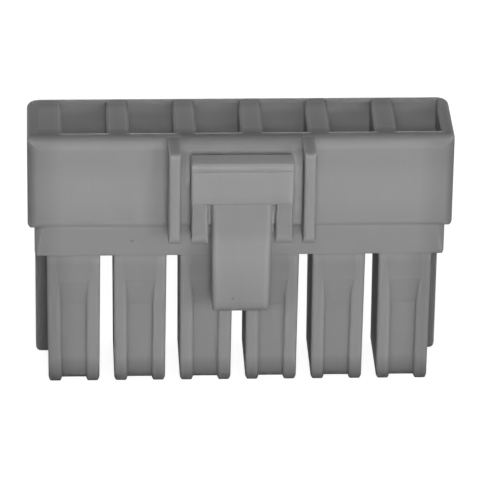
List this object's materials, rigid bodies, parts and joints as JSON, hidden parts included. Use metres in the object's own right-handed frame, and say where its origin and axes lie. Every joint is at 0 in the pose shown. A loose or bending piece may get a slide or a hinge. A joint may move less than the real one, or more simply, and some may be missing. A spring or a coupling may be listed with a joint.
{
  "type": "connector housing",
  "caption": "Single-row crimp receptacle housing moulded in grey nylon, with separate mating towers, a wire block with open entries, and a rocking latch between two guards.",
  "frame": {"origin": "centre of the overall box on the plane of the tower tips, which is the mating face", "axes": "+X along the row of circuits, +Y from the latch to the plain back, +Z from the mating face to the wire entries"},
  "size_m": [0.0478, 0.015, 0.0311],
  "materials": {
    "nylon": "satin, as moulded"
  },
  "bodies": {
    "root": {"housing": "nylon"}
  },
  "joints": []
}
